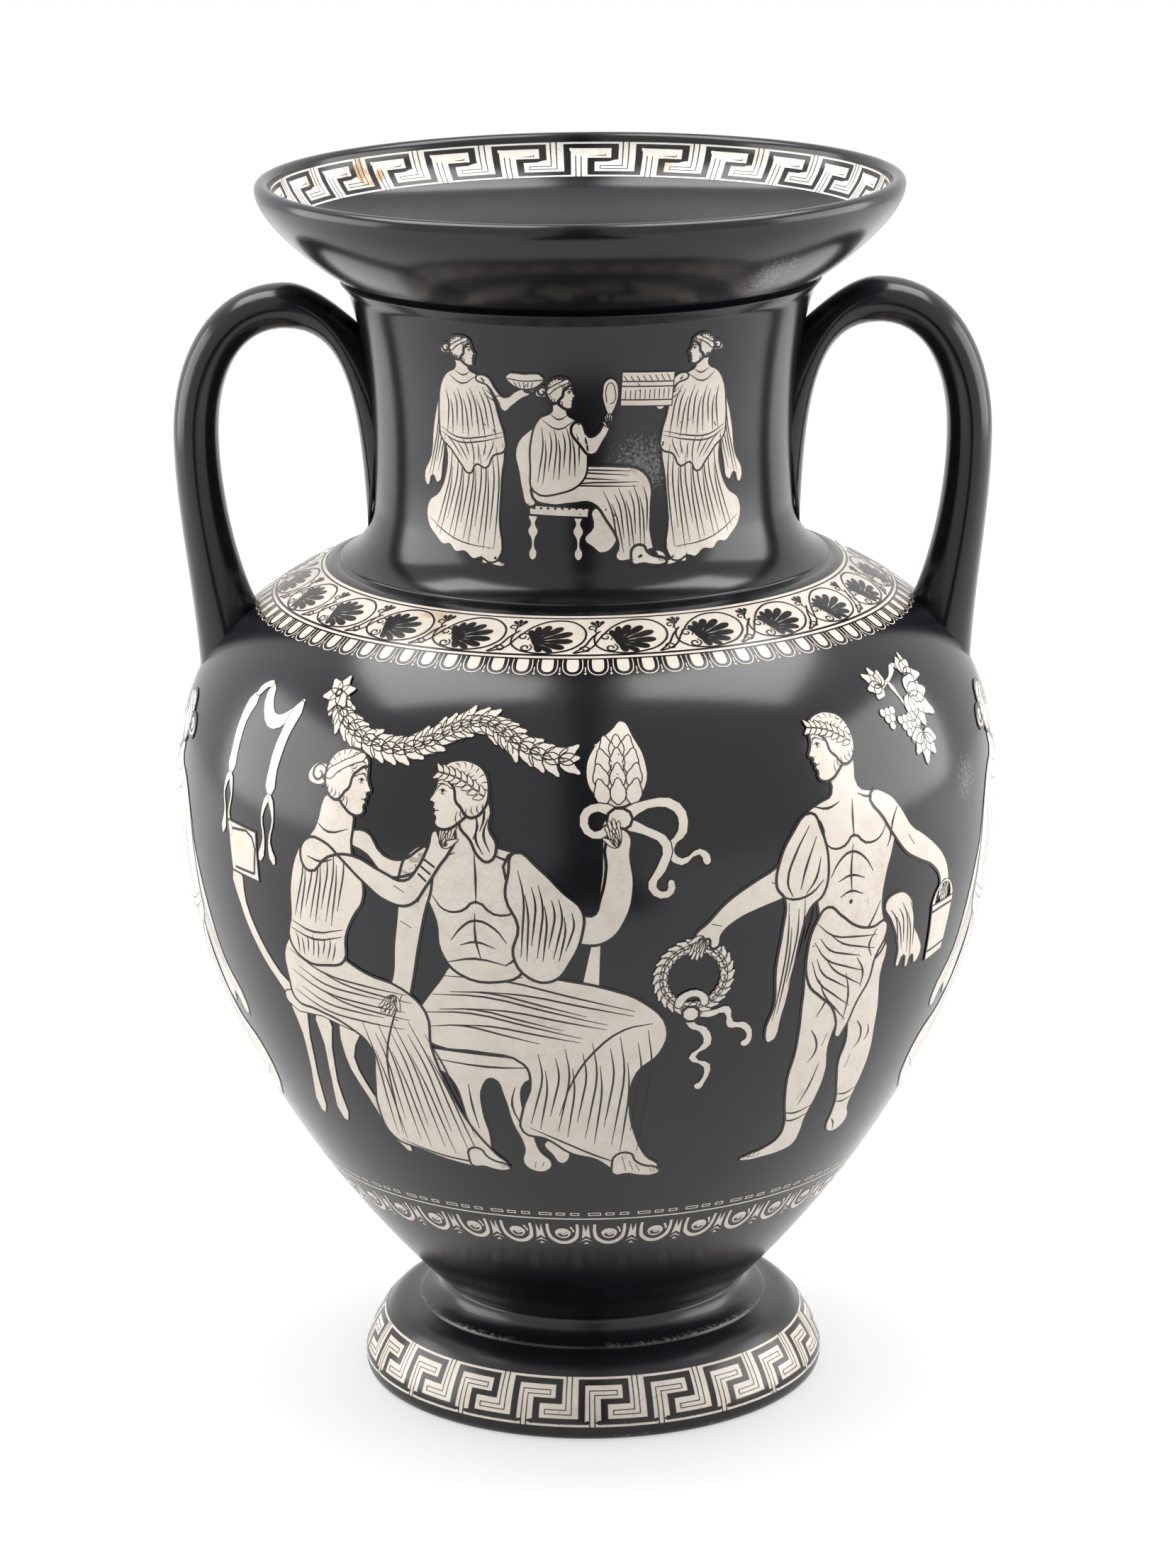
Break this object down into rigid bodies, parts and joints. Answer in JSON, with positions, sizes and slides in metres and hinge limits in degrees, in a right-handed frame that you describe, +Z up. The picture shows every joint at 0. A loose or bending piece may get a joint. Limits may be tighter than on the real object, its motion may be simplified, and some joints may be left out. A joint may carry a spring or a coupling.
{
  "type": "amphora",
  "caption": "Two-handled amphora in black-glazed earthenware with cream figure friezes and key-pattern bands, on a pedestal foot.",
  "frame": {"origin": "centre of the foot ring's resting face, on the pot's axis", "axes": "+Z up along the pot's axis; handles along X; the main scene faces -Y"},
  "size_m": [0.2876, 0.2876, 0.43],
  "materials": {
    "glaze_foot": "gloss",
    "glaze_body": "gloss",
    "glaze_neck": "gloss",
    "glaze_mouth": "gloss",
    "glaze_handle_left": "gloss",
    "glaze_handle_right": "gloss"
  },
  "bodies": {
    "root": {"foot": "glaze_foot", "body": "glaze_body", "neck": "glaze_neck", "mouth": "glaze_mouth", "handle_left": "glaze_handle_left", "handle_right": "glaze_handle_right"}
  },
  "joints": []
}
